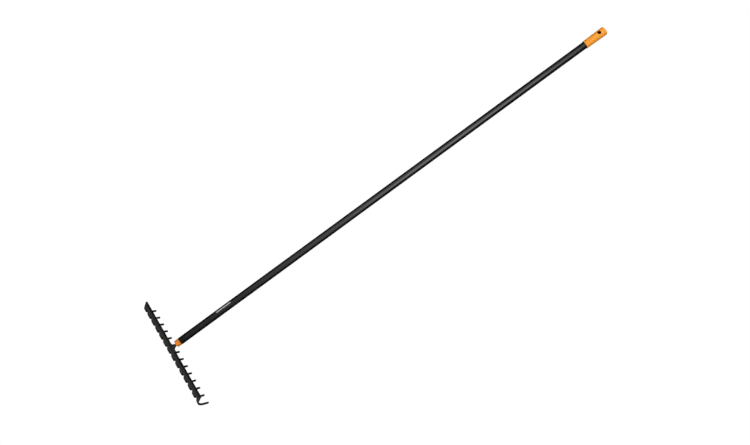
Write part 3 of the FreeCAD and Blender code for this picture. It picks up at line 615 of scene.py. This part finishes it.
front = []
for tine in range(14):
    for i in range(len(rows) - 1):
        pts = []
        for r in (i, i + 1):
            lo, hi = span_of(tine, rows[r])
            pts.append([(r, rows[r], lo + (hi - lo) * c / COLS) for c in range(COLS + 1)])
        for c in range(COLS):
            front.append([pts[0][c], pts[0][c + 1], pts[1][c + 1], pts[1][c]])
faces, edges = [], {}
for quad in front:
    f = [vert(r, s, x, 1) for r, s, x in quad]
    b = [vert(r, s, x, -1) for r, s, x in quad]
    faces.append(tuple(f))
    faces.append(tuple(b[::-1]))
    for k in range(4):
        edges[(f[k], f[(k + 1) % 4])] = (b[k], b[(k + 1) % 4])
for (p, q), (pb, qb) in edges.items():
    if (q, p) not in edges:
        faces.append((q, p, pb, qb))
bar = build("toothed_bar", verts, faces, head_mat, "head_coating", "rake_head", 40)
bev = bar.modifiers.new("eased_edges", "BEVEL")
bev.width, bev.segments, bev.limit_method = 0.00055, 3, "ANGLE"
bev.angle_limit = math.radians(50)
bev.harden_normals = True
bev.use_clamp_overlap = True

# forged neck: a flat foot on the bar's back edge that draws in to a round bar, and the tang
SEG = 64
NECK_R = 3.8
FLANK = ((15.5 - NECK_R) ** 2 + 9.5 ** 2) / (2 * (15.5 - NECK_R))


def neck_station(y):
    """half width, low z, high z and squareness of the neck at y"""
    bar_c = tang_at(y)
    if y <= 1.0:
        w = 15.5
    elif y < 10.5:
        w = NECK_R + FLANK - math.sqrt(max(0.0, FLANK ** 2 - (10.5 - y) ** 2))
    else:
        w = NECK_R
    u = min(1.0, max(0.0, (y - 1.0) / 12.0))
    u = u * u * (3 - 2 * u)
    top = min(3.4 + (y + 4.0) * 0.2133, bar_c + NECK_R) if y < 13 else bar_c + NECK_R
    top = top * (1 - u) + (bar_c + NECK_R) * u
    low = -0.6 if y > -0.445 else -(y + 1.1) * math.tan(A0) - 0.35
    low = low * (1 - u) + (bar_c - NECK_R) * u
    return w, low, top, 7.0 * (1 - u) + 2.0 * u


verts, faces = [], []
ys = [-1.6, -1.2, -0.8, -0.44, 0.2, 1.0, 1.7, 2.4, 3.1, 3.9, 4.7, 5.5, 6.4, 7.3, 8.2, 9.1, 10.0, 11.0, 12.0, 13.0,
      15.0, 18.0, 22.0, 30.0, 50.0, 70.0, 90.5, 91.6, 92.0]
for y in ys:
    w, lo, hi, e = neck_station(y)
    shrink = 0.94 if y == -1.6 else (0.80 if y == 92.0 else (0.93 if y == 91.6 else 1.0))
    for k in range(SEG):
        t = 2 * math.pi * k / SEG
        cx, cz = math.cos(t), math.sin(t)
        q = (abs(cx) ** e + abs(cz) ** e) ** (-1.0 / e)
        sx, sz = cx * q, cz * q
        verts.append((w * sx * (shrink if y > 80 else 0.985 if y == -1.6 else 1.0), y,
                      (lo + hi) / 2 + (hi - lo) / 2 * sz * (shrink if y > 80 else 1.0 - (0.06 if y == -1.6 else 0.0))))
for i in range(len(ys) - 1):
    for k in range(SEG):
        j, a = (k + 1) % SEG, i * SEG
        faces.append((a + k, a + j, a + SEG + j, a + SEG + k))
faces.append(tuple(range(SEG))[::-1])
faces.append(tuple(range((len(ys) - 1) * SEG, len(ys) * SEG)))
neck = build("neck_and_tang", verts, faces, neck_mat, "neck_coating", "neck_tang", 50)


def bead(name, node, centre, ry, rz, half, phase):
    """weld bead along the bar: overlapping ripples that thin out at both ends"""
    verts, faces = [], []
    n, seg = 150, 20
    for i in range(n + 1):
        x = -half + 2 * half * i / n
        end = min(1.0, (half - abs(x)) / 1.8)
        fade = math.sqrt(max(0.0, 1 - (1 - end) ** 2))
        ripple = abs(math.sin(math.pi * (x + phase) / 1.7)) ** 0.6
        wob = noise.noise(Vector((x * 0.23, phase, 1.7)))
        for k in range(seg):
            t = 2 * math.pi * k / seg
            g = (0.92 + 0.08 * ripple + 0.07 * wob) * max(fade, 0.02)
            # ripples lean back like a row of overlapping coins
            verts.append((x - 0.35 * math.cos(t) * math.cos(t) * fade, centre[0] + ry * g * math.cos(t) + 0.08 * wob,
                          centre[1] + rz * g * math.sin(t)))
    for i in range(n):
        for k in range(seg):
            j, a = (k + 1) % seg, i * seg
            faces.append((a + k, a + j, a + seg + j, a + seg + k))
    faces.append(tuple(range(seg))[::-1])
    faces.append(tuple(range(n * seg, (n + 1) * seg)))
    return build(name, verts, faces, weld_mat, "weld_coating", node, 60)


bead("weld_front", "weld_bead_front", (-1.95, 1.55), 1.15, 1.15, 14.9, 0.0)
bead("weld_rear", "weld_bead_rear", (1.05, -1.15), 1.25, 1.05, 14.9, 0.6)

# a plain pale bar printed on the tube, in place of any wording
def print_bar(name, y0, y1, mid_deg, width, r=11.262):
    """rounded strip that follows the tube, a few hundredths thick"""
    nu, nv = 40, 8
    rad = width / 2
    outer, inner = [], []
    verts, faces = [], []
    for side, rr in ((0, r), (1, r - 0.1)):
        for i in range(nu + 1):
            u = i / nu
            y = y0 + (y1 - y0) * (0.5 - 0.5 * math.cos(math.pi * u))
            edge = min(y - y0, y1 - y)
            hw = rad if edge >= rad else math.sqrt(max(0.0, rad ** 2 - (rad - edge) ** 2))
            hw = max(hw, 0.25)
            for j in range(nv + 1):
                a = math.radians(mid_deg) + (2 * j / nv - 1) * hw / 11.25
                verts.append((rr * math.cos(a), y, AX + rr * math.sin(a)))
    def at(side, i, j):
        return side * (nu + 1) * (nv + 1) + i * (nv + 1) + j
    for i in range(nu):
        for j in range(nv):
            faces.append((at(0, i, j), at(0, i, j + 1), at(0, i + 1, j + 1), at(0, i + 1, j)))
            faces.append((at(1, i, j), at(1, i + 1, j), at(1, i + 1, j + 1), at(1, i, j + 1)))
    for i in range(nu):
        for j in (0, nv):
            faces.append((at(0, i, j), at(0, i + 1, j), at(1, i + 1, j), at(1, i, j)))
    for j in range(nv):
        for i in (0, nu):
            faces.append((at(0, i, j), at(1, i, j), at(1, i, j + 1), at(0, i, j + 1)))
    return build(name, verts, faces, print_mat, "shaft_coating", None, 45)


print_bar("printed_bar", MARK_0, MARK_1, MARK_DEG, 3.9)

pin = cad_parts["tang_pin"]
pin.data.materials.clear()
pin.data.materials.append(steel.m)

# --------------------------------------------------------------------------
# floor, light, camera
# --------------------------------------------------------------------------
me = bpy.data.meshes.new("floor")
s = 12.0
me.from_pydata([(-s, -s, 0), (s, -s, 0), (s, s, 0), (-s, s, 0)], [], [(0, 1, 2, 3)])
floor = bpy.data.objects.new("floor", me)
bpy.context.scene.collection.objects.link(floor)
fm = Mat("floor_white")
fm.set(Base_Color=(0.0, 0.0, 0.0, 1), Roughness=1.0)
fm.bsdf.inputs["Specular IOR Level"].default_value = 0.0
fm.bsdf.inputs["Emission Color"].default_value = (1, 1, 1, 1)
fm.bsdf.inputs["Emission Strength"].default_value = 1.01
me.materials.append(fm.m)
floor.visible_glossy = False
floor.visible_diffuse = False

floor.visible_shadow = False

# light returned by the floor, felt only by what faces down
bounce = bpy.data.objects.new("floor_bounce", floor.data.copy())
bounce.location = (0, 0, -0.004)
bpy.context.scene.collection.objects.link(bounce)
bm_ = Mat("floor_bounce_white")
bm_.set(Base_Color=(0.0, 0.0, 0.0, 1), Roughness=1.0)
bm_.bsdf.inputs["Specular IOR Level"].default_value = 0.0
bm_.bsdf.inputs["Emission Color"].default_value = (1, 1, 1, 1)
bm_.bsdf.inputs["Emission Strength"].default_value = BOUNCE
bounce.data.materials.clear()
bounce.data.materials.append(bm_.m)
for ray in ("camera", "glossy", "transmission", "shadow"):
    setattr(bounce, "visible_" + ray, False)

# a pale surround behind the floor, seen but giving no light
bm = bmesh.new()
bmesh.ops.create_icosphere(bm, subdivisions=4, radius=24.0)
bmesh.ops.reverse_faces(bm, faces=bm.faces)
me = bpy.data.meshes.new("surround")
bm.to_mesh(me)
bm.free()
for poly in me.polygons:
    poly.use_smooth = True
me.materials.append(fm.m)
surround = bpy.data.objects.new("surround", me)
bpy.context.scene.collection.objects.link(surround)
for ray in ("glossy", "diffuse", "transmission", "shadow"):
    setattr(surround, "visible_" + ray, False)

# a soft dome: light overhead, falling to dark at the horizon, with a dim pale sweep low in front
world = bpy.data.worlds.new("studio")
world.use_nodes = True
bpy.context.scene.world = world
wt = world.node_tree
bg = wt.nodes["Background"]


def wnode(kind, **kw):
    nd = wt.nodes.new(kind)
    for k, v in kw.items():
        setattr(nd, k, v)
    return nd


def wspan(src, a, b, c, d):
    nd = wnode("ShaderNodeMapRange", clamp=True, interpolation_type="SMOOTHSTEP")
    for k, v in (("From Min", a), ("From Max", b), ("To Min", c), ("To Max", d)):
        nd.inputs[k].default_value = v
    wt.links.new(src, nd.inputs["Value"])
    return nd.outputs["Result"]


def wmath(op, a, b):
    nd = wnode("ShaderNodeMath", operation=op)
    for i, v in enumerate((a, b)):
        if isinstance(v, (int, float)):
            nd.inputs[i].default_value = v
        else:
            wt.links.new(v, nd.inputs[i])
    return nd.outputs[0]


sep = wnode("ShaderNodeSeparateXYZ")
wt.links.new(wnode("ShaderNodeTexCoord").outputs["Generated"], sep.inputs[0])
behind = wmath("MAXIMUM", sep.outputs["Y"], 0.0)
lift = wmath("SUBTRACT", sep.outputs["Z"], wmath("MULTIPLY", behind, 0.45))
lift = wmath("ADD", lift, wmath("MULTIPLY", sep.outputs["X"], DOME_TILT))
dome = wmath("MULTIPLY", wspan(lift, DOME_LO, DOME_HI, 0.0, DOME), wspan(sep.outputs["Y"], DOME_Y0, DOME_Y1, DOME_FRONT, 1.0))
dome = wmath("MULTIPLY", dome, wspan(sep.outputs["Y"], 0.28, 0.50, 1.0, 0.55))
sweep = wmath("MULTIPLY", wspan(sep.outputs["Y"], -0.45, -0.85, 0.0, SWEEP), wspan(sep.outputs["Z"], 0.25, -0.05, 0.0, 1.0))
wt.links.new(wmath("ADD", dome, sweep), bg.inputs["Strength"])
bg.inputs["Color"].default_value = (1.0, 1.0, 1.0, 1)


def area(name, where, target, size, radiance, colour=(1, 1, 1)):
    light = bpy.data.lights.new(name, "AREA")
    light.shape = "RECTANGLE"
    light.size, light.size_y = size
    light.energy = radiance * size[0] * size[1] * math.pi
    light.color = colour
    o = bpy.data.objects.new(name, light)
    bpy.context.scene.collection.objects.link(o)
    a, b = LOCAL @ Vector(where), LOCAL @ Vector(target)
    o.location = a
    o.rotation_mode = "QUATERNION"
    o.rotation_quaternion = (b - a).to_track_quat("-Z", "Y")
    return o


area("key", KEY_AT, (0, 1.1, 0), KEY_SIZE, KEY_L)
area("fill", FILL_AT, (0, 0.0, 0), FILL_SIZE, FILL_L)
back = area("back", BACK_AT, (0, 1.6, 0), BACK_SIZE, BACK_L)
back.data.spread = math.radians(60)

# the camera's place in the tool's axes, and the directions of its right, up and back
cam_data = bpy.data.cameras.new("camera")
cam = bpy.data.objects.new("camera", cam_data)
bpy.context.scene.collection.objects.link(cam)
bpy.context.scene.camera = cam
cam_data.sensor_width = 36.0
cam_data.lens = CAM_LENS
cam_data.clip_start, cam_data.clip_end = 0.05, 50.0
right = Vector(CAM_RIGHT)
fwd = Vector(CAM_FWD)
fwd.normalize()
right = (right - fwd * right.dot(fwd)).normalized()
down = fwd.cross(right)
T = Vector(CAM_T)
place = -(right * T.x + down * T.y + fwd * T.z)
basis = Matrix((right, -down, -fwd)).transposed()
cam.matrix_world = LOCAL @ (Matrix.Translation(place) @ basis.to_4x4())

sc = bpy.context.scene
sc.view_settings.view_transform = "Standard"
sc.view_settings.look = "None"
